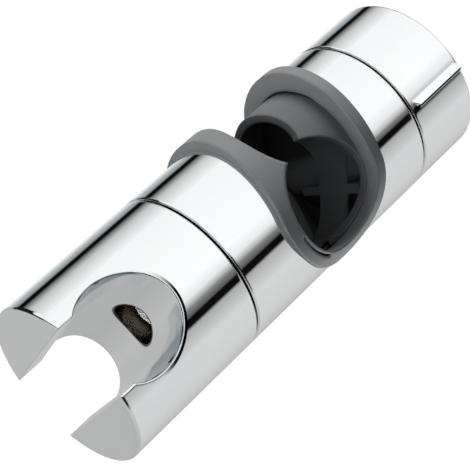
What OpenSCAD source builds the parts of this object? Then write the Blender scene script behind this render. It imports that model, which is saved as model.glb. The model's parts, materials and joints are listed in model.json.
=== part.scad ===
// Shower rail slider: a chromed tube that clamps on a round rail and holds a handset.
// X runs from the handset holder to the knob, Z along the rail, +Y to the open mouth.
// The origin is the centre of the largest rail, in the middle of its height in the slider.

/* [Tube] */
// Outer diameter of holder, body and knob
tube_d = 40; // [38:0.5:46]
// Length of the handset holder
holder_len = 37.2; // [36:0.1:44]
// Length of the chromed body
body_len = 59.2; // [58.6:0.1:68]
// Length of the clamping knob
knob_len = 18.6; // [17.6:0.1:26]
// Wall of the body shell
shell_wall = 2.6; // [2:0.1:3]
// Open gap at the two seams
seam_gap = 0.55; // [0.2:0.05:0.7]
// Radius on the edges beside the seams
seam_edge = 0.4; // [0.2:0.05:0.8]
// Radius on the outer edges of the two ends
end_edge = 0.6; // [0.4:0.05:1.4]

/* [Rail] */
// Diameter of the largest rail
rail_d = 25; // [22:0.5:26]
// Play between the rail and its two saddles
rail_play = 0.05; // [0.02:0.01:0.2]
// Distance from the holder seam to the rail's centre
rail_from_seam = 30.2; // [29.8:0.1:33]
// Lean of the slot's holder side toward the knob, in degrees
holder_lean = 11; // [0:0.5:12]
// Lean of the slot's knob side, away from the holder, in degrees
knob_lean = 7.5; // [0:0.5:9]
// Distance that the slot's round bottom lies nearer to the holder
slot_shift = 0.4; // [0:0.1:1]

/* [Collar] */
// Wall of the collar between the rail and the chrome
collar_wall = 1.85; // [1.6:0.05:2.2]
// Width of chrome that the collar covers
flange_lap = 1.2; // [0.8:0.1:2]
// Height of the collar over the chrome at the mouth
flange_high = 1.9; // [1.2:0.1:2.6]
// Height of the collar over the chrome at the spine
flange_low = 0.85; // [0.5:0.05:1.2]
// Wall of the fixed saddle
saddle_wall = 2.3; // [1.8:0.1:2.6]

/* [Jaw] */
// Travel of the jaw to each side of its place on the largest rail
jaw_travel = 7; // [5:0.5:7.5]
// Wall of the jaw's skirt
jaw_wall = 2; // [1.8:0.1:3]
// Width of the band that holds the jaw's saddle
band_w = 10.4; // [8:0.1:12]
// Thickness of the jaw's cross rib
rib_t = 2; // [1.6:0.1:3]
// Radius of the threaded stem
stem_r = 5; // [4:0.1:6]

/* [Holder] */
// Distance from the end face to the handset cone's axis
pocket_from_end = 11.2; // [10.6:0.1:13]
// Radius of the cone where it leaves the top of the tube
pocket_top_r = 11.25; // [10:0.05:11.6]
// Radius of the cone where it leaves the bottom of the tube
pocket_bottom_r = 8.95; // [8:0.05:9.6]
// Half width of the open slot at the top
slot_top_w = 8.8; // [8:0.1:9.4]
// Half width of the open slot at the bottom
slot_bottom_w = 7.9; // [7:0.1:8.2]
// Radius on the upper edge of the cone and the slot
rim_edge = 0.7; // [0.3:0.05:0.9]
// Turn of the holder from the rail's direction, in degrees
holder_turn = 16; // [-45:1:45]
// Radius of the screw well
well_r = 5.15; // [4.8:0.05:6]
// Thickness of the floor under the screw well
floor_t = 3.8; // [3.4:0.05:4.5]

/* [Pivot] */
// Radius of the pivot screw's shank
screw_r = 2; // [1.5:0.1:2.4]
// Radius of the pivot screw's head
head_r = 4.1; // [3.6:0.1:4.3]
// Height of the pivot screw's head
head_h = 2.5; // [2:0.1:3]
// Thickness of the washer
washer_t = 0.8; // [0.5:0.1:1.2]
// Radius of the spring's wire
wire_r = 0.4; // [0.3:0.05:0.5]
// Free length of the compressed spring
spring_len = 5.6; // [4.6:0.1:6]
// Width over the flats of the nut
nut_w = 7; // [6:0.5:8]
// Number of stops in one turn of the holder
click_stops = 24; // [12:4:36]

/* [Knob] */
// Wall of the knob's skirt
knob_wall = 2.1; // [1.6:0.1:2.2]
// Thickness of the knob's end
knob_end_t = 2.3; // [1.8:0.1:3]
// Height of the knob's fin at its crest
fin_h = 0.7; // [0.5:0.1:1.6]
// Place of the fin around the knob, in degrees from the rail's direction
fin_turn = 5.5; // [-60:0.5:60]
// Width of the fin from its crest to its foot
fin_w = 2.5; // [2:0.1:4]

/* [Hidden] */

fine = 128;             // sides of the large round forms
run = 0.06;             // radial play of a running fit
slide = 0.3;            // clearance of the sliding jaw
over = 1;               // how far a cutting form runs past what it cuts

tube_r = tube_d / 2;
bore_r = tube_r - shell_wall;
rail_r = rail_d / 2;
saddle_r = rail_r + rail_play;

seam1_x = -rail_from_seam;
end_x = seam1_x - holder_len;
seam2_x = seam1_x + body_len;
tip_x = seam2_x + knob_len;
holder_back = seam1_x - seam_gap / 2;
shell_front = seam1_x + seam_gap / 2;
shell_back = seam2_x - seam_gap / 2;
knob_front = seam2_x + seam_gap / 2;

cut_r = saddle_r + collar_wall;
flange_r = cut_r + flange_lap;
axis_y = bore_r - cut_r - 0.2; // the slot all but reaches the bore on the spine side
bite_x = 3.4;           // centre of the lead-in scallop of the fixed side
bite_y = rail_r + 6;
bite_r = 11.5;
jaw_bite_x = -5;        // centre of the lead-in scallop of the sliding jaw
jaw_bite_r = 11;
lip_play = 0.6;         // how far the collar's inner face stands back from the jaw
groove_in = 0.55;       // wall that the collar's relief groove leaves beside the rail
groove_w = 0.6;
groove_deep = 1.2;      // depth below the chrome
groove_span = [192, 215, 238];

jaw_clear_x = 4.7;      // how far behind the rail's centre the fixed saddle ends
jaw_toe_x = 3.2;        // front of the jaw on the spine side
jaw_skin = 2.2;         // back wall of the jaw

jaw_r = bore_r - slide;
plate_t = 4;
plate_in = 1.65;        // how far the bearing plate lies inside the body
clip_t = 0.8;
clip_w = 2;
clip_groove = 0.8;
clip_mouth = 10;
plate_back = shell_back - plate_in;
plate_front = plate_back - plate_t;
jaw_back = plate_front - clip_t - slide - jaw_travel;
journal_r = stem_r + 3;
drive_flange_r = journal_r + 3;
thrust_t = 0.6;
thrust_play = 0.1;
drive_flange_t = 2;
hub_len = 11;
drive_back = plate_back + thrust_t + drive_flange_t + hub_len;
stem_len = tip_x - knob_end_t - jaw_travel - jaw_back - 0.6;
hex_w = 14;             // width over the flats of the drive nut's hub
hub_wall = 2;           // wall of the knob's socket outside the hexagon's corners
guide_w = 3;            // width of the rib that guides the jaw
guide_h = 1.2;

well_x = holder_back - floor_t;
washer_x = well_x - spring_len - washer_t;
head_x = washer_x - head_h;
click_t = 2.4;
click_in = 8.6;
click_out = 13.4;
click_seat = 1.6;
ring_front = shell_front + click_seat - click_t;
stud_r = 1;
core_plate = 3.6;
core_skin = 2;
core_rib = 1.6;
nut_t = 3.2;
nut_x = shell_front + core_plate + 4.4;
screw_end = nut_x + nut_t;

module along_x(x = 0) translate([x, axis_y, 0]) rotate([0, 90, 0]) children();
module rod(x0, x1, r) along_x(x0) cylinder(h = x1 - x0, r = r, $fn = fine);
module hex_rod(x0, x1, w) along_x(x0) cylinder(h = x1 - x0, r = w / sqrt(3), $fn = 6);
module pipe(x0, x1, ro, ri) difference() {
    rod(x0, x1, ro);
    rod(x0 - over, x1 + over, ri);
}
// A turned form about the tube's axis, from points of radius and X
module turned(points) along_x(0) rotate_extrude($fn = fine) polygon(points);
module holder_frame() translate([0, axis_y, 0]) rotate([-holder_turn, 0, 0]) children();
function arc(cr, cx, r, a0, a1, n = 6) =
    [for (i = [0:n]) [cr + r * cos(a0 + (a1 - a0) * i / n), cx + r * sin(a0 + (a1 - a0) * i / n)]];

// The rail slot, with a round bottom and straight sides that lean toward the knob
module slot_cut(r, h = 2 * tube_d) translate([-slot_shift, 0, 0]) {
    cylinder(h = h, r = r, center = true, $fn = fine);
    slot_sides(r, r, h);
}
// The straight sides, which start a hair inside the round bottom
module slot_sides(left, right, h) {
    hair = 0.06;
    rotate(-holder_lean) translate([hair - left, 0, -h / 2]) cube([left, 2 * tube_r, h]);
    rotate(-knob_lean) translate([-over, 0, -h / 2]) cube([right + over - hair, 2 * tube_r, h]);
}
// What the largest rail and its way in leave open in the collar
module rail_way(h = 2 * tube_d) {
    inner_w = cut_r - saddle_wall + lip_play;
    cylinder(h = h, r = saddle_r, center = true, $fn = fine);
    translate([bite_x, bite_y, 0]) cylinder(h = h, r = bite_r, center = true, $fn = fine);
    translate([-slot_shift, 0, 0]) rotate(-knob_lean) {
        translate([-over, 0.5, -h / 2]) cube([inner_w + over, 2 * tube_r, h]);
    }
}
// What the rail and its way in leave open in the sliding jaw
module jaw_bites(h = 2 * tube_d) {
    cylinder(h = h, r = saddle_r, center = true, $fn = fine);
    translate([jaw_bite_x, bite_y, 0]) cylinder(h = h, r = jaw_bite_r, center = true, $fn = fine);
    translate([-tube_r, -2 * tube_r, -h / 2]) cube([tube_r + jaw_toe_x, 2 * tube_r, h]);
    translate([jaw_bite_x - tube_r, bite_y, -h / 2]) cube([tube_r + jaw_bite_r - 0.4, tube_r, h]);
}

// Handset holder with its cone, the open slot and the screw well
module handset_holder() color("gainsboro") difference() {
    union() {
        turned(concat([[0, end_x]],
            arc(tube_r - end_edge, end_x + end_edge, end_edge, -90, 0),
            arc(tube_r - seam_edge, holder_back - seam_edge, seam_edge, 0, 90),
            [[click_out + 0.6, holder_back], [click_out + 0.6, ring_front - 0.9],
             [click_in - 0.6, ring_front - 0.9], [click_in - 0.6, holder_back], [0, holder_back]]));
        for (a = [0:90:270]) holder_frame() rotate([a + 45, 0, 0])
            translate([ring_front - 1.2, 0, (click_in + click_out) / 2]) rotate([0, 90, 0])
                cylinder(h = 1.1, r = stud_r, $fn = 32);
    }
    holder_frame() {
        translate([end_x + pocket_from_end, 0, 0]) {
            handset_cone();
            rim_cut();
        }
        translate([end_x - over, 0, 0]) rotate([90, 0, 90])
            linear_extrude(pocket_from_end + over) slot_section();
    }
    rod(end_x + pocket_from_end, well_x, well_r);
    rod(well_x - over, holder_back + over, screw_r + 0.2);
}
cone_mean = (pocket_top_r + pocket_bottom_r) / 2;
cone_rate = (pocket_top_r - pocket_bottom_r) / tube_d;
slot_mean = (slot_top_w + slot_bottom_w) / 2;
slot_rate = (slot_top_w - slot_bottom_w) / tube_d;
module handset_cone() {
    translate([0, 0, -tube_d]) cylinder(h = 2 * tube_d, r1 = cone_mean - cone_rate * tube_d,
        r2 = cone_mean + cone_rate * tube_d, $fn = fine);
}
// Height of the tube's top at a distance to the side
function roof(y) = sqrt(tube_r * tube_r - y * y);
// Points of a rounded edge between two tangent points and their corner, run a little past both
function rounded(out, corner, in, n = 4) = let (
    curve = [for (i = [0:n]) let (t = i / n)
        (1 - t) * (1 - t) * out + 2 * t * (1 - t) * corner + t * t * in])
    concat([curve[0] + 0.3 * (curve[0] - curve[1])], [for (i = [1:n - 1]) curve[i]],
        [curve[n] + 0.3 * (curve[n] - curve[n - 1])]);
// Section of the cut that rounds the cone's rim, at an angle round the cone
function rim_section(a) = let (
    r = cone_mean + cone_rate * roof(pocket_top_r * sin(a)),
    z = roof(r * sin(a)),
    edge = rounded([r + rim_edge, roof((r + rim_edge) * sin(a))], [r, z],
        [r - cone_rate * rim_edge, z - rim_edge]))
    concat(edge, [[r - 1.5, z - rim_edge], [r - 1.5, z + 1.5], [r + rim_edge, z + 1.5]]);
// The sweep of that section round the cone, from one side of the slot to the other
module rim_cut() {
    reach = 140;
    steps = 80;
    rings = [for (i = [0:steps]) let (a = -reach + 2 * reach * i / steps)
        [for (p = rim_section(a)) [p[0] * cos(a), p[0] * sin(a), p[1]]]];
    n = len(rings[0]);
    polyhedron([for (r = rings) for (p = r) p],
        concat([[for (j = [0:n - 1]) j]],
            [for (i = [0:steps - 1]) for (j = [0:n - 1])
                [i * n + j, (i + 1) * n + j, (i + 1) * n + (j + 1) % n, i * n + (j + 1) % n]],
            [[for (j = [n - 1:-1:0]) steps * n + j]]));
}
// Outline of the slot, with its upper edges rounded
module slot_section() {
    low = slot_mean - slot_rate * tube_d;
    y = slot_mean + slot_rate * roof(slot_top_w);
    z = roof(y);
    edge = rounded([y + rim_edge, roof(y + rim_edge)], [y, z], [y - slot_rate * rim_edge, z - rim_edge]);
    n = len(edge);
    half = concat([[low, -tube_d]], [for (i = [n - 1:-1:0]) edge[i]], [[edge[0][0], tube_d]]);
    polygon(concat(half, [for (i = [len(half) - 1:-1:0]) [-half[i][0], half[i][1]]]));
}

// Pan-head screw with a cross recess, which holds the holder on the body
module pivot_screw() color("silver") difference() {
    turned(concat([[0, head_x]], arc(head_r - 1.4, head_x + 1.4, 1.4, -90, 0),
        [[head_r, washer_x], [screw_r, washer_x], [screw_r, screw_end - 0.5],
         [screw_r - 0.5, screw_end], [0, screw_end]]));
    holder_frame() for (a = [45, 135]) translate([head_x - over, 0, 0]) rotate([a, 0, 0])
        translate([0, -0.55, -2.3]) cube([over + 1.5, 1.1, 4.6]);
}
module pivot_washer() color("silver") pipe(washer_x, washer_x + washer_t, head_r + 0.4, screw_r + 0.15);

// Compression spring that presses the holder on the click ring
module pivot_spring() color("darkgray") {
    mean_r = (head_r + screw_r) / 2 + 0.2;
    turns = 4;
    steps = 16;
    length = spring_len - 2 * wire_r - 0.02;
    rings = [for (i = [0:turns * steps]) let (a = 360 * i / steps, c = mean_r)
        [for (j = [0:7]) let (b = 45 * j, r = c + wire_r * cos(b))
            [r * cos(a), r * sin(a), wire_r * (1 + sin(b)) + 0.01 + length * i / (turns * steps)]]];
    count = len(rings);
    along_x(washer_x + washer_t) polyhedron([for (r = rings) for (p = r) p],
        concat([[for (j = [0:7]) j]],
            [for (i = [0:count - 2]) for (j = [0:7])
                [i * 8 + j, (i + 1) * 8 + j, (i + 1) * 8 + (j + 1) % 8, i * 8 + (j + 1) % 8]],
            [[for (j = [7:-1:0]) (count - 1) * 8 + j]]));
}
// Ring with radial notches, which gives the holder its stops
module click_ring() color("dimgray") difference() {
    pipe(ring_front, shell_front + click_seat, click_out, click_in);
    for (i = [0:click_stops - 1]) translate([ring_front, axis_y, 0]) rotate([i * 360 / click_stops, 0, 0])
        translate([0, 0, click_in - over]) rotate([0, 0, 45])
            translate([-0.5, -0.5, 0]) cube([1, 1, click_out - click_in + 2 * over]);
}
module pivot_nut() color("silver") difference() {
    hex_rod(nut_x, nut_x + nut_t, nut_w);
    rod(nut_x - over, nut_x + nut_t + over, screw_r + run);
}

// Chromed tube with the slot for the rail and a guide rib for the jaw
module body_shell() color("gainsboro") {
    difference() {
        turned(concat([[bore_r, shell_front]],
            arc(tube_r - seam_edge, shell_front + seam_edge, seam_edge, -90, 0),
            arc(tube_r - seam_edge, shell_back - seam_edge, seam_edge, 0, 90),
            [[bore_r, shell_back]]));
        slot_cut(cut_r);
    }
    intersection() {
        rod(rail_r - 2, plate_front, bore_r + shell_wall / 2);
        translate([rail_r - 2, axis_y - bore_r - over, -guide_w / 2])
            cube([plate_front - rail_r + 2, over + guide_h, guide_w]);
    }
}
// Plug in the holder end of the body, which carries the click ring and the nut
module body_core() color("dimgray") difference() {
    union() {
        rod(shell_front, shell_front + core_plate, bore_r);
        pipe(shell_front, -cut_r - saddle_wall, bore_r, bore_r - core_skin);
        rod(shell_front, screw_end + 0.2, nut_w);
        for (a = [0:60:300]) translate([shell_front + over, axis_y, 0]) rotate([a, 0, 0])
            translate([0, -core_rib / 2, nut_w - over])
                cube([-cut_r + 3 - shell_front, core_rib, bore_r - nut_w + over / 2]);
    }
    pipe(shell_front - over, shell_front + click_seat, click_out + 0.15, click_in - 0.15);
    rod(shell_front - over, nut_x + over, screw_r + 0.2);
    hex_rod(nut_x, nut_x + nut_t + over, nut_w + 0.1);
    cylinder(h = 2 * tube_d, r = saddle_r + saddle_wall, center = true, $fn = fine);
    translate([bite_x, bite_y, 0])
        cylinder(h = 2 * tube_d, r = bite_r + saddle_wall, center = true, $fn = fine);
    slot_cut(cut_r);
}
// Grey collar round the slot, in one piece with the fixed saddle
module rail_collar() color("gray") {
    lift = (flange_high + flange_low) / 2;
    shift = (flange_high - flange_low) / 2;
    difference() {
        union() {
            difference() {
                intersection() {
                    translate([0, shift, 0]) rod(seam1_x, seam2_x, tube_r + lift);
                    slot_cut(flange_r);
                }
                rod(seam1_x - over, seam2_x + over, tube_r);
            }
            difference() {
                intersection() {
                    rod(seam1_x, seam2_x, tube_r + 0.05);
                    slot_cut(cut_r);
                }
                rod(seam1_x - over, seam2_x + over, bore_r);
            }
            intersection() {
                rod(seam1_x, -jaw_clear_x, bore_r + 0.05);
                union() {
                    cylinder(h = 2 * tube_d, r = saddle_r + saddle_wall, center = true, $fn = fine);
                    translate([bite_x, bite_y, 0])
                        cylinder(h = 2 * tube_d, r = bite_r + saddle_wall, center = true, $fn = fine);
                }
                slot_cut(cut_r - 0.05);
            }
        }
        rail_way();
        relief_groove();
    }
}
// Curved groove behind the saddle's edge at the spine, on both ends of the slot
module relief_groove(h = 2 * tube_d) difference() {
    intersection() {
        cylinder(h = h, r = saddle_r + groove_in + groove_w, center = true, $fn = fine);
        linear_extrude(h, center = true) polygon(concat([[0, 0]],
            [for (a = groove_span) [tube_d * cos(a), tube_d * sin(a)]]));
    }
    cylinder(h = h + over, r = saddle_r + groove_in, center = true, $fn = fine);
    rod(seam1_x - over, seam2_x + over, tube_r - groove_deep);
}
// Sliding jaw with its saddle band, its cross rib and the threaded stem
module clamp_jaw() color("dimgray") {
    difference() {
        union() {
            pipe(-over, jaw_back, jaw_r, jaw_r - jaw_wall);
            rod(jaw_back - jaw_skin, jaw_back, jaw_r);
            intersection() {
                rod(-over, jaw_back, jaw_r - over / 2);
                union() {
                    translate([-over, 0, 0]) rotate([90, 0, 90])
                        linear_extrude(jaw_back + over) band_shape();
                    translate([-over, -4.6, -0.5]) rotate([6, 0, 0])
                        translate([0, -rib_t / 2, -8.5]) cube([jaw_back + over, rib_t, 21]);
                    for (side = [0, 1]) mirror([0, 0, side]) translate([-over, 0, 0])
                        rotate([90, 0, 90]) linear_extrude(jaw_back + over) pad_shape();
                }
            }
        }
        jaw_bites();
        translate([-over, axis_y - bore_r - over, -guide_w / 2 - slide])
            cube([jaw_back + 2 * over, over + guide_h + slide, guide_w + 2 * slide]);
    }
    rod(jaw_back - over, jaw_back + stem_len, stem_r);
}
// Face of the saddle band in Y and Z: wide under the upper edge, narrow at the spine
module band_shape() polygon([[jaw_bite_r, 8.5], [7.4, 5], [3.3, 2.3], [1.6, 2.3], [-1.2, -0.4],
    [-4.1, -2.5], [-7.5, -3.4], [-tube_r, -3.6], [-tube_r, band_w - 3.6], [-8.6, band_w - 3.9],
    [-4.5, band_w - 2.4], [0.1, band_w + 0.9], [5.4, band_w + 7], [jaw_bite_r, tube_r]]);
// Pad that thickens the skirt beside the saddle
module pad_shape() polygon([[3.4, 12.8], [3.4, tube_r], [-2.4, tube_r], [-2.4, 14.9]]);
// Plate in the knob end of the body, in which the drive nut turns
module bearing_plate() color("dimgray") pipe(plate_front, plate_back, bore_r, journal_r + run);
// Nut that turns with the knob and draws the jaw's stem
module drive_nut() color("darkkhaki") difference() {
    union() {
        rod(plate_front - clip_t - thrust_play, plate_back + thrust_t, journal_r);
        rod(plate_back + thrust_t, plate_back + thrust_t + drive_flange_t, drive_flange_r);
        hex_rod(plate_back + thrust_t, drive_back, hex_w);
    }
    rod(plate_front - 2 * over, drive_back + over, stem_r + run);
    pipe(plate_front - clip_t, plate_front, journal_r + over, journal_r - clip_groove);
}
module retaining_clip() color("silver") difference() {
    pipe(plate_front - clip_t, plate_front, journal_r + clip_w, journal_r - clip_groove);
    translate([plate_front - clip_t - over, axis_y - clip_mouth / 2, 0])
        cube([clip_t + 2 * over, clip_mouth, 2 * journal_r]);
}
module thrust_washer() color("whitesmoke") pipe(plate_back, plate_back + thrust_t,
    drive_flange_r, journal_r + thrust_play);
// Chromed knob with its fin and the socket for the drive nut
module knob() color("gainsboro") {
    inner = tube_r - knob_wall;
    difference() {
        union() {
            turned(concat([[inner, knob_front]],
                arc(tube_r - seam_edge, knob_front + seam_edge, seam_edge, -90, 0),
                arc(tube_r - end_edge, tip_x - end_edge, end_edge, 0, 90),
                [[0, tip_x], [0, tip_x - knob_end_t], [inner, tip_x - knob_end_t]]));
            pipe(drive_back - hub_len + 0.3, tip_x - knob_end_t / 2,
                hex_w / sqrt(3) + hub_wall, stem_r + 0.5);
        }
        hex_rod(drive_back - hub_len, drive_back + 0.1, hex_w + 0.1);
        rod(drive_back, tip_x - knob_end_t, stem_r + 0.5);
    }
    translate([0, axis_y, 0]) rotate([fin_turn, 0, 0]) fin();
}
// Fin with a steep side under its crest, a long slope and two slanted ends
module fin() {
    start = knob_front + 0.2;
    finish = tip_x - end_edge / 3;
    steep = -0.7;
    root = 2;
    intersection() {
        translate([start, 0, tube_r - root]) rotate([90, 0, 90]) linear_extrude(finish - start)
            polygon([[steep, 0], [steep / 2, root + fin_h], [fin_w, root - 0.4], [fin_w, 0]]);
        translate([0, 0, tube_r - root - over]) linear_extrude(fin_h + root + 2 * over)
            polygon([[start - over, fin_w + 1.7], [start + fin_w + over, steep - over],
                [finish + fin_w + over, steep - over], [finish - fin_w - 2 * over, fin_w + 1.7]]);
    }
}

handset_holder();
pivot_screw();
pivot_washer();
pivot_spring();
click_ring();
pivot_nut();
body_shell();
body_core();
rail_collar();
clamp_jaw();
bearing_plate();
drive_nut();
retaining_clip();
thrust_washer();
knob();
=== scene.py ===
import bpy
import json
import math
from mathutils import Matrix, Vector

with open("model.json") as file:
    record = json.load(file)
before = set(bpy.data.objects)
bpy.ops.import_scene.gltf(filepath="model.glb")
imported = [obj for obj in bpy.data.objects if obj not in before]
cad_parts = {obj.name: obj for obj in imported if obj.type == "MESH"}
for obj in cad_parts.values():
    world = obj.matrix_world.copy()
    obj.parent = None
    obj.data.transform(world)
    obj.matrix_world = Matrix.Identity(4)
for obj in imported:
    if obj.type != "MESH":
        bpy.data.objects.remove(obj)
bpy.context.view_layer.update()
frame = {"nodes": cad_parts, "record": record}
nodes = frame["nodes"]
axisY = frame["record"]["behaviour"]["joints"][0]["pos_m"][1]     # the tube's axis, on the mouth's side
print("frame loaded:", len(nodes), "pieces")


class Wire:                                     # one socket of a material, with the usual operators
    def __init__(self, finish, socket):
        self.finish, self.socket = finish, socket

    def maths(self, operation, first, second):
        return self.finish.node("ShaderNodeMath", {"operation": operation}, {0: first, 1: second})

    def __add__(self, other):
        return self.maths("ADD", self, other)

    def __radd__(self, other):
        return self.maths("ADD", other, self)

    def __sub__(self, other):
        return self.maths("SUBTRACT", self, other)

    def __rsub__(self, other):
        return self.maths("SUBTRACT", other, self)

    def __mul__(self, other):
        return self.maths("MULTIPLY", self, other)

    def __rmul__(self, other):
        return self.maths("MULTIPLY", other, self)

    def __pow__(self, other):
        return self.maths("POWER", self, other)


class Finish:                                   # the nodes of a material, or of the world
    def __init__(self, name, library="materials"):
        self.owner = getattr(bpy.data, library).new(name)
        self.owner.use_nodes = True
        self.tree = self.owner.node_tree
        self.tree.nodes.clear()

    def node(self, kind, settings=None, sockets=None, output=0):
        made = self.tree.nodes.new(kind)
        for key, value in (settings or {}).items():
            setattr(made, key, value)
        for key, value in (sockets or {}).items():
            if isinstance(value, Wire):
                self.tree.links.new(value.socket, made.inputs[key])
            else:
                made.inputs[key].default_value = value
        return Wire(self, made.outputs[output]) if len(made.outputs) else None

    def outputs(self, kind, names, sockets=None):
        made = self.node(kind, {}, sockets).socket.node
        return [Wire(self, made.outputs[name]) for name in names]

    def place(self):                            # X, Y and Z on the piece, in metres
        place = self.node("ShaderNodeTexCoord", output="Object")
        return self.outputs("ShaderNodeSeparateXYZ", ("X", "Y", "Z"), {"Vector": place})

    def noise(self, scale, detail=2.0, roughness=0.5):
        place = self.node("ShaderNodeTexCoord", output="Object")
        return self.node("ShaderNodeTexNoise", {}, {"Vector": place, "Scale": scale,
                                                    "Detail": detail, "Roughness": roughness})

    def blend(self, factor, first, second):
        first, second = (c if isinstance(c, Wire) else (*c, 1) for c in (first, second))
        return self.node("ShaderNodeMix", {"data_type": "RGBA"}, {"Factor": factor, 6: first, 7: second},
                         output=2)

    def step(self, value, low, high):           # 0 up to low, 1 from high on
        return self.node("ShaderNodeMapRange", {"interpolation_type": "SMOOTHSTEP"},
                         {"Value": value, "From Min": low, "From Max": high})

    def band(self, value, low, high, soft):     # 1 between low and high, with soft ends
        return self.step(value, low, low + soft) * (1 - self.step(value, high, high + soft))

    def length(self, first, second):
        return (first * first + second * second) ** 0.5

    def surface(self, sockets):
        shader = self.node("ShaderNodeBsdfPrincipled", {}, sockets)
        self.node("ShaderNodeOutputMaterial", {}, {"Surface": shader})
        return self.owner


bevelSamples = 8


def roundedNormal(f, edge, height, strength, distance):
    bevel = f.node("ShaderNodeBevel", {"samples": bevelSamples}, {"Radius": edge})
    return f.node("ShaderNodeBump", {}, {"Height": height, "Strength": strength,
                                         "Distance": distance, "Normal": bevel})


chrome = {"light": (0.93, 0.935, 0.94), "dark": (0.88, 0.89, 0.90), "roughness": 0.035, "haze": 0.02,
          "cloudScale": 60, "hazeScale": 900, "edge": 0.0006, "bump": 0.02, "bumpDepth": 0.0004}


def platedSurface(f, tones=(), roughness=0.0):
    cloud = f.noise(chrome["cloudScale"], 3)    # faint unevenness of the plating
    haze = f.noise(chrome["hazeScale"], 2)
    colour = f.blend(cloud, chrome["dark"], chrome["light"])
    # painted shade and painted reflections laid over the plating's colour, where a piece has them
    for mask, tone in tones:
        colour = f.blend(mask, colour, tone)
    return f.surface({"Base Color": colour,
                      "Metallic": 1.0,
                      "Roughness": chrome["roughness"] + roughness + chrome["haze"] * haze,
                      "Normal": roundedNormal(f, chrome["edge"], cloud, chrome["bump"], chrome["bumpDepth"])})


def chromePlate():
    return platedSurface(Finish("chromePlate"))


# the holder's chrome, with painted light: painted bluish reflections high on the cone's wall, a painted dark
# reflection along its rim, and painted dark brown shade in the screw well
holderPaintedLight = {
    "turn": 16,                                 # degrees from the rail's direction
    "coneX": -0.0562, "coneRadius": 0.0101, "coneRate": 0.0575, "wall": (0.0001, 0.0003),
    # painted bluish reflection on the cone's wall
    "paintedBlueReflection": (0.34, 0.42, 0.48), "reflectionUp": (0.001, 0.003), "reflectionSide": (0.0030, 0.0055),
    "reflectionEdge": (0.0002, 0.0008), "streakScale": 420, "streakShift": 0.0006, "streakTone": (0.75, 0.4),
    "leftBand": (0.823, 0.160, -0.5445, -0.04771),      # planes over which the two painted bluish reflection bands lie
    "rightBand": (0.853, -0.498, -0.155, -0.03953),
    # painted dark reflection along the rim
    "rim": (0.004, 0.0045, 0.005), "rimPast": (0.00045, 0.00105, 0.0001), "rimUp": (0.013, 0.014),
    "rimSide": (-0.006, 0.001), "rimX": (-0.0572, -0.0530),
    # painted dark brown shade in the screw well
    "well": (0.13, 0.11, 0.085), "wellX": (-0.0484, -0.0482), "wellRadius": (0.0054, 0.0056),
    "wellRoughness": 0.2,
}


def holderChrome():
    f = Finish("holderChrome")
    streak = f.noise(holderPaintedLight["streakScale"], 2)
    x, y, z = f.place()
    y = y - axisY
    turn = math.radians(holderPaintedLight["turn"])
    side = y * math.cos(turn) - z * math.sin(turn)
    up = y * math.sin(turn) + z * math.cos(turn)
    cone = holderPaintedLight["coneRadius"] + holderPaintedLight["coneRate"] * up
    pastCone = f.length(x - holderPaintedLight["coneX"], side) - cone
    bands = 0.0
    for name, toSide in (("leftBand", side), ("rightBand", 0 - side)):
        a, b, c, d = holderPaintedLight[name]
        over = d - (a * x + b * side + c * up) + holderPaintedLight["streakShift"] * streak
        bands = bands + f.step(over, *holderPaintedLight["reflectionEdge"]) * f.step(toSide, *holderPaintedLight["reflectionSide"])
    least, spread = holderPaintedLight["streakTone"]
    # painted bluish reflection on the cone's wall, in two bands broken up by streaks
    paintedBlueReflection = bands * (1 - f.step(pastCone, *holderPaintedLight["wall"]))
    paintedBlueReflection = paintedBlueReflection * f.step(up, *holderPaintedLight["reflectionUp"]) * (least + spread * streak)
    # painted dark reflection along the cone's rim
    rim = f.band(pastCone, *holderPaintedLight["rimPast"]) * f.step(up, *holderPaintedLight["rimUp"])
    rim = rim * f.step(0 - side, *holderPaintedLight["rimSide"]) * f.step(x, *holderPaintedLight["rimX"])
    # painted dark brown shade inside the screw well, with rougher plating there
    well = f.step(x, *holderPaintedLight["wellX"]) * (1 - f.step(f.length(y, z), *holderPaintedLight["wellRadius"]))
    tones = [(rim, holderPaintedLight["rim"]), (paintedBlueReflection, holderPaintedLight["paintedBlueReflection"]), (well, holderPaintedLight["well"])]
    return platedSurface(f, tones, holderPaintedLight["wellRoughness"] * well)


# the knob's chrome: a painted dark reflection in the crease under the fin's crest
knobPaintedShade = {"paintedCreaseShade": (0.004, 0.0045, 0.005), "finTurn": 5.5, "creasePast": (-0.00005, 0.0006, 0.0001),
             "creaseX": (0.0305, 0.0468, 0.0004), "creaseUp": (0.015, 0.016)}


def knobChrome():
    f = Finish("knobChrome")
    x, y, z = f.place()
    turn = math.radians(knobPaintedShade["finTurn"])
    pastCrest = (axisY - y) * math.cos(turn) - z * math.sin(turn)
    # painted dark reflection along the crease under the fin
    paintedCreaseShade = f.band(pastCrest, *knobPaintedShade["creasePast"]) * f.band(x, *knobPaintedShade["creaseX"])
    paintedCreaseShade = paintedCreaseShade * f.step(z, *knobPaintedShade["creaseUp"])
    return platedSurface(f, [(paintedCreaseShade, knobPaintedShade["paintedCreaseShade"])])


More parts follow.
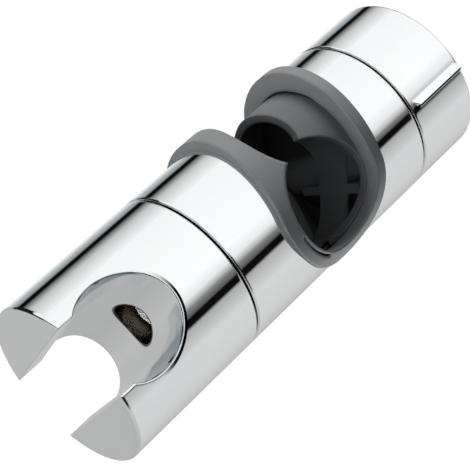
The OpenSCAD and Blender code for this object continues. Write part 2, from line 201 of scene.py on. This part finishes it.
# each plastic, and what all mouldings share
plastic = {
    "collarGrey": {"light": (0.140, 0.145, 0.149), "dark": (0.120, 0.125, 0.128), "roughness": 0.42,
                   "gloss": 0.16, "edge": 0.0011},
    # the jaw's grey: painted shade inside the skirt, three quarters of the dark grey within the saddle
    # radius, near black beyond it
    "jawGrey": {"light": (0.105, 0.109, 0.115), "dark": (0.085, 0.089, 0.093), "roughness": 0.45,
                "gloss": 0.01, "edge": 0.0007, "paintedHollowShade": 0.1, "saddle": 0.75,
                "skirtRadius": (0.0148, 0.0158), "saddleRadius": (0.0128, 0.0138)},
    "coreGrey": {"light": (0.05, 0.05, 0.052), "dark": (0.035, 0.035, 0.036), "roughness": 0.5,
                 "gloss": 0.01, "edge": 0.0004},
    "acetal": {"light": (0.70, 0.68, 0.62), "dark": (0.64, 0.62, 0.56), "roughness": 0.4,
               "gloss": 0.3, "edge": 0.0003},
}
# the last four values set the pale painted highlight along edges
mould = {"cloudScale": 130, "grainScale": 5200, "grainRoughness": 0.12, "grainBump": 0.12,
         "grainDepth": 0.00005, "highlightStrength": 0.8, "highlightWidth": 0.0004, "highlightTurn": (0.04, 0.25), "highlightTone": 2}


def paintedEdgeHighlight(f):                                # 1 on edges, where the pale painted highlight goes
    bevel = f.node("ShaderNodeBevel", {"samples": bevelSamples}, {"Radius": mould["highlightWidth"]})
    flat = f.node("ShaderNodeNewGeometry", output="Normal")
    along = f.node("ShaderNodeVectorMath", {"operation": "DOT_PRODUCT"}, {0: bevel, 1: flat}, output="Value")
    return f.step(1 - along, *mould["highlightTurn"])


def mouldedPlastic(name):
    look = plastic[name]
    f = Finish(name)
    cloud = f.noise(mould["cloudScale"], 3)
    grain = f.noise(mould["grainScale"], 2)     # fine spark-eroded grain
    # pale painted highlight along the mouldings' edges
    pale = [min(1, c * mould["highlightTone"]) for c in look["light"]]
    edgeHighlight = paintedEdgeHighlight(f) * mould["highlightStrength"]
    colour = f.blend(edgeHighlight, f.blend(cloud, look["dark"], look["light"]), pale)
    if "paintedHollowShade" in look:                        # painted shade inside the jaw's skirt
        x, y, z = f.place()
        outside = f.step(f.length(y - axisY, z), *look["skirtRadius"])
        behind = f.step(f.length(x, y), *look["saddleRadius"])
        # painted shade: the two darker copies of the jaw's dark grey
        saddle = [c * look["saddle"] for c in look["dark"]]
        paintedHollowShade = [c * look["paintedHollowShade"] for c in look["dark"]]
        colour = f.blend(outside, f.blend(behind, saddle, paintedHollowShade), colour)
    normal = roundedNormal(f, look["edge"], grain, mould["grainBump"], mould["grainDepth"])
    return f.surface({"Base Color": colour,
                      "Roughness": look["roughness"] + mould["grainRoughness"] * grain,
                      "Specular IOR Level": look["gloss"],
                      "Normal": normal})


steel = {
    "zincSteel": {"light": (0.62, 0.61, 0.59), "dark": (0.42, 0.41, 0.40), "roughness": 0.22, "scale": 700,
                  "metal": 1.0},
    "screwSteel": {"light": (0.88, 0.87, 0.84), "dark": (0.72, 0.71, 0.68), "roughness": 0.3, "scale": 120,
                   "metal": 0.4},
}
zinc = {"roughness": 0.12, "edge": 0.0003, "bump": 0.03, "bumpDepth": 0.00004}      # what both share


def platedSteel(name):
    look = steel[name]
    f = Finish(name)
    cloud = f.noise(look["scale"], 4, 0.6)
    return f.surface({"Base Color": f.blend(cloud, look["dark"], look["light"]),
                      "Metallic": look["metal"],
                      "Roughness": look["roughness"] + zinc["roughness"] * cloud,
                      "Normal": roundedNormal(f, zinc["edge"], cloud, zinc["bump"], zinc["bumpDepth"])})


finishes = {"chrome": chromePlate(), "steel": platedSteel("zincSteel"),
            "collar_grey": mouldedPlastic("collarGrey"), "jaw_grey": mouldedPlastic("jawGrey"),
            "core_grey": mouldedPlastic("coreGrey"), "acetal": mouldedPlastic("acetal")}
ownFinishes = {"handset_holder": holderChrome(), "knob": knobChrome(),
               "pivot_screw": platedSteel("screwSteel")}

for part in frame["record"]["subparts"]:
    mesh = nodes[part["node"]].data
    mesh.materials.clear()
    mesh.materials.append(ownFinishes.get(part["node"], finishes[part["material_slot"]]))
print("finishes made")


# Studio: pale floor, soft lamps, and rings of strips round the tube that only reflections see
studio = {"fill": 0.015, "floorZ": -0.40, "floorSize": 6.0, "floorGrey": (0.3, 0.3, 0.3), "floorGlow": 1.1,
          "floorSeen": 0.9, "lampDistance": 0.65, "lampSize": 0.3, "cardSteps": 8, "cardDistance": 0.35,
          "dark": 0.01, "plain": (1.0, 1.0, 1.0), "cool": (0.84, 0.94, 1.0),
          "warpAt": 11, "warpWide": 15, "warpNear": 1.2, "warpFar": 5.5, "warpX": 0.2}
# each ring: its places along the tube, and how much of a strip's shade is left there
rings = {
    "endRing": ((-3, 0.7), (-0.78, 1)),
    "farRing": ((-0.78, 1), (-0.48, 1)),
    "edgeRing": ((-0.48, 1), (-0.24, 1)),
    "holderRing": ((-0.24, 1), (0.055, 1)),
    "knobRing": ((0.055, 1), (0.14, 1), (0.24, 1), (0.54, 1), (0.57, 0), (0.63, 0), (0.66, 1), (3, 0.7)),
}
# each strip: its two angles about the tube, from +Z toward -Y, the shade at each, and its tint
cards = {
    "knobRing": {
        "underGrey": (-215, -188, 0.50, 0.56, "plain"),
        "underPale": (-188, -178, 0.56, 0.92, "plain"),
        "backPale": (-178, -162, 0.95, 0.66, "plain"),
        "backGrey": (-162, -147, 0.66, 0.36, "cool"),
        "backFade": (-147, -142, 0.36, 0.01, "plain"),
        "backBlack": (-142, -134, 0.004, 0.004, "plain"),
        "backRise": (-134, -119, 0.03, 0.60, "plain"),
        "skyLow": (-119, -95, 0.60, 0.96, "plain"),
        "skyHigh": (-95, -7, 1.0, 1.08, "plain"),
        "skyFade": (-7, 6, 1.08, 0.88, "plain"),
        "darkFade": (6, 15, 0.84, 0.24, "plain"),
        "darkRamp": (15, 24, 0.24, 0.08, "plain"),
        "frontBlack": (24, 33, 0.004, 0.004, "plain"),
        "frontRise": (33, 36, 0.08, 0.45, "plain"),
        "frontLow": (36, 60, 0.45, 0.71, "plain"),
        "frontHigh": (60, 105, 0.72, 0.68, "plain"),
        "frontDeep": (105, 145, 0.68, 0.50, "plain"),
    },
    "holderRing": {
        "leftUnder": (-215, -178, 0.46, 0.54, "plain"),
        "leftBack": (-178, -145, 0.54, 0.44, "plain"),
        "leftDark": (-145, -108, 0.01, 0.01, "plain"),
        "leftSky": (-108, -4, 0.98, 1.0, "plain"),
        "leftFade": (-4, 3, 1.0, 0.3, "plain"),
        "leftBlack": (3, 48, 0.01, 0.01, "plain"),
        "leftRise": (48, 56, 0.01, 0.5, "plain"),
        "leftDeep": (56, 145, 0.60, 0.46, "plain"),
    },
    "edgeRing": {
        "edgeUnder": (-215, -178, 0.46, 0.54, "plain"),
        "edgeBack": (-178, -145, 0.54, 0.44, "plain"),
        "edgeBlack": (-145, 44, 0.01, 0.01, "plain"),
        "edgeRise": (44, 54, 0.01, 0.5, "plain"),
        "edgeDeep": (54, 145, 0.60, 0.46, "plain"),
    },
    "farRing": {
        "farUnder": (-215, -178, 0.46, 0.54, "plain"),
        "farBack": (-178, -145, 0.54, 0.44, "plain"),
        "farRise": (-145, -110, 0.44, 0.9, "plain"),
        "farSky": (-110, -75, 0.95, 1.0, "plain"),
        "farBlack": (-75, 44, 0.01, 0.01, "plain"),
        "farFade": (44, 54, 0.01, 0.5, "plain"),
        "farDeep": (54, 145, 0.60, 0.46, "plain"),
    },
    "endRing": {
        "endUnder": (-215, -178, 0.46, 0.54, "plain"),
        "endBack": (-178, -145, 0.54, 0.44, "plain"),
        "endRise": (-145, -110, 0.44, 0.9, "plain"),
        "endSky": (-110, 20, 0.95, 1.0, "plain"),
        "endFade": (20, 44, 1.0, 0.3, "plain"),
        "endLow": (44, 54, 0.3, 0.5, "plain"),
        "endDeep": (54, 145, 0.60, 0.46, "plain"),
    },
}


def makeWorld():
    f = Finish("studioWorld", "worlds")
    bpy.context.scene.world = f.owner
    camera, glossy, through = f.outputs("ShaderNodeLightPath", ("Is Camera Ray", "Is Glossy Ray",
                                                                "Is Transmission Ray"))
    reflected = f.node("ShaderNodeMath", {"operation": "MAXIMUM"}, {0: glossy, 1: through})
    seen = f.node("ShaderNodeMath", {"operation": "MAXIMUM"}, {0: camera, 1: reflected})
    white = f.node("ShaderNodeBackground", {}, {"Color": (1, 1, 1, 1), "Strength": 1.0})
    fill = f.node("ShaderNodeBackground", {}, {"Color": (1, 1, 1, 1), "Strength": studio["fill"]})
    glow = f.node("ShaderNodeMixShader", {}, {0: seen, 1: fill, 2: white})
    f.node("ShaderNodeOutputWorld", {}, {"Surface": glow})


def makeFloor():
    half = studio["floorSize"] / 2
    corners = ((-half, -half), (half, -half), (half, half), (-half, half))
    mesh = bpy.data.meshes.new("floor")
    mesh.from_pydata([(x, y, studio["floorZ"]) for x, y in corners], [], [(0, 1, 2, 3)])
    floor = bpy.data.objects.new("floor", mesh)
    bpy.context.scene.collection.objects.link(floor)
    f = Finish("floorWhite")
    camera = f.node("ShaderNodeLightPath", output="Is Camera Ray")
    pale = f.node("ShaderNodeBsdfDiffuse", {}, {"Color": (*studio["floorGrey"], 1)})
    lit = f.node("ShaderNodeEmission", {}, {"Color": (1, 1, 1, 1), "Strength": studio["floorGlow"]})
    glow = f.node("ShaderNodeMixShader", {}, {0: camera * studio["floorSeen"], 1: pale, 2: lit})
    f.node("ShaderNodeOutputMaterial", {}, {"Surface": glow})
    mesh.materials.append(f.owner)


def makeGlow(tint):                             # shines as bright as a strip's own shade
    f = Finish(tint + "Glow")
    shade = f.node("ShaderNodeAttribute", {"attribute_name": "shade"}, output="Fac")
    colour = f.node("ShaderNodeVectorMath", {"operation": "SCALE"}, {0: studio[tint], "Scale": shade})
    glow = f.node("ShaderNodeEmission", {}, {"Color": colour, "Strength": 1.0})
    f.node("ShaderNodeOutputMaterial", {}, {"Surface": glow})
    return f.owner


glows = {tint: makeGlow(tint) for tint in ("plain", "cool")}


def makeCard(ring, name, first, last, shadeFirst, shadeLast, tint):
    steps = studio["cardSteps"]
    columns = len(rings[ring])
    points, faces, shades = [], [], []
    for i in range(steps + 1):
        degrees = first + (last - first) * i / steps
        shade = shadeFirst + (shadeLast - shadeFirst) * i / steps
        warp = max(0.0, 1 - abs(degrees - studio["warpAt"]) / studio["warpWide"])   # bends the sky's edge
        for j, (x, level) in enumerate(rings[ring]):
            angle = math.radians(degrees + warp * studio["warpNear" if x < studio["warpX"] else "warpFar"])
            points.append((x, axisY - studio["cardDistance"] * math.sin(angle),
                           studio["cardDistance"] * math.cos(angle)))
            shades.append(level * shade + (1 - level) * studio["dark"])
            if i and j:
                k = i * columns + j
                faces.append((k - columns - 1, k - 1, k, k - columns))
    mesh = bpy.data.meshes.new(name)
    mesh.from_pydata(points, [], faces)
    mesh.attributes.new("shade", "FLOAT", "POINT").data.foreach_set("value", shades)
    mesh.materials.append(glows[tint])
    card = bpy.data.objects.new(name, mesh)
    bpy.context.scene.collection.objects.link(card)
    card.visible_camera = False
    card.visible_diffuse = False
    card.visible_shadow = False
    card.visible_transmission = False


lamps = {                                       # where each soft lamp stands, and its power
    "softMouth": ((0.5, 0.9, 0.1), 7.5),
    "softUnder": ((0.1, -0.95, -0.1), 8.5),
    "softHolder": ((-1.0, 0.3, 0.1), 3.8),
    "softTop": ((-0.7, 0.3, 0.7), 1.3),
}


def makeLamp(name, direction, power):
    lamp = bpy.data.lights.new(name, "AREA")
    lamp.size, lamp.energy = studio["lampSize"], power
    made = bpy.data.objects.new(name, lamp)
    made.location = Vector(direction).normalized() * studio["lampDistance"]
    made.rotation_euler = (-made.location).to_track_quat("-Z", "Y").to_euler()
    made.visible_glossy = False
    bpy.context.scene.collection.objects.link(made)


makeWorld()
makeFloor()
for ring, strips in cards.items():
    for name, values in strips.items():
        makeCard(ring, name, *values)
for name, values in lamps.items():
    makeLamp(name, *values)
print("studio made")

view = {"place": (-0.17960, 0.08046, 0.28982), "turn": (8.2565, -31.2433, -41.0302),
        "focal": 119.77, "film": 36.0, "nearest": 0.01, "farthest": 20.0}


def makeCamera():
    camera = bpy.data.cameras.new("viewCamera")
    camera.sensor_width, camera.lens = view["film"], view["focal"]
    camera.clip_start, camera.clip_end = view["nearest"], view["farthest"]
    viewPoint = bpy.data.objects.new("viewPoint", camera)
    viewPoint.location = view["place"]
    viewPoint.rotation_euler = [math.radians(angle) for angle in view["turn"]]
    bpy.context.scene.collection.objects.link(viewPoint)
    bpy.context.scene.camera = viewPoint


makeCamera()
bpy.context.scene.view_settings.view_transform = "Standard"
print("camera set")
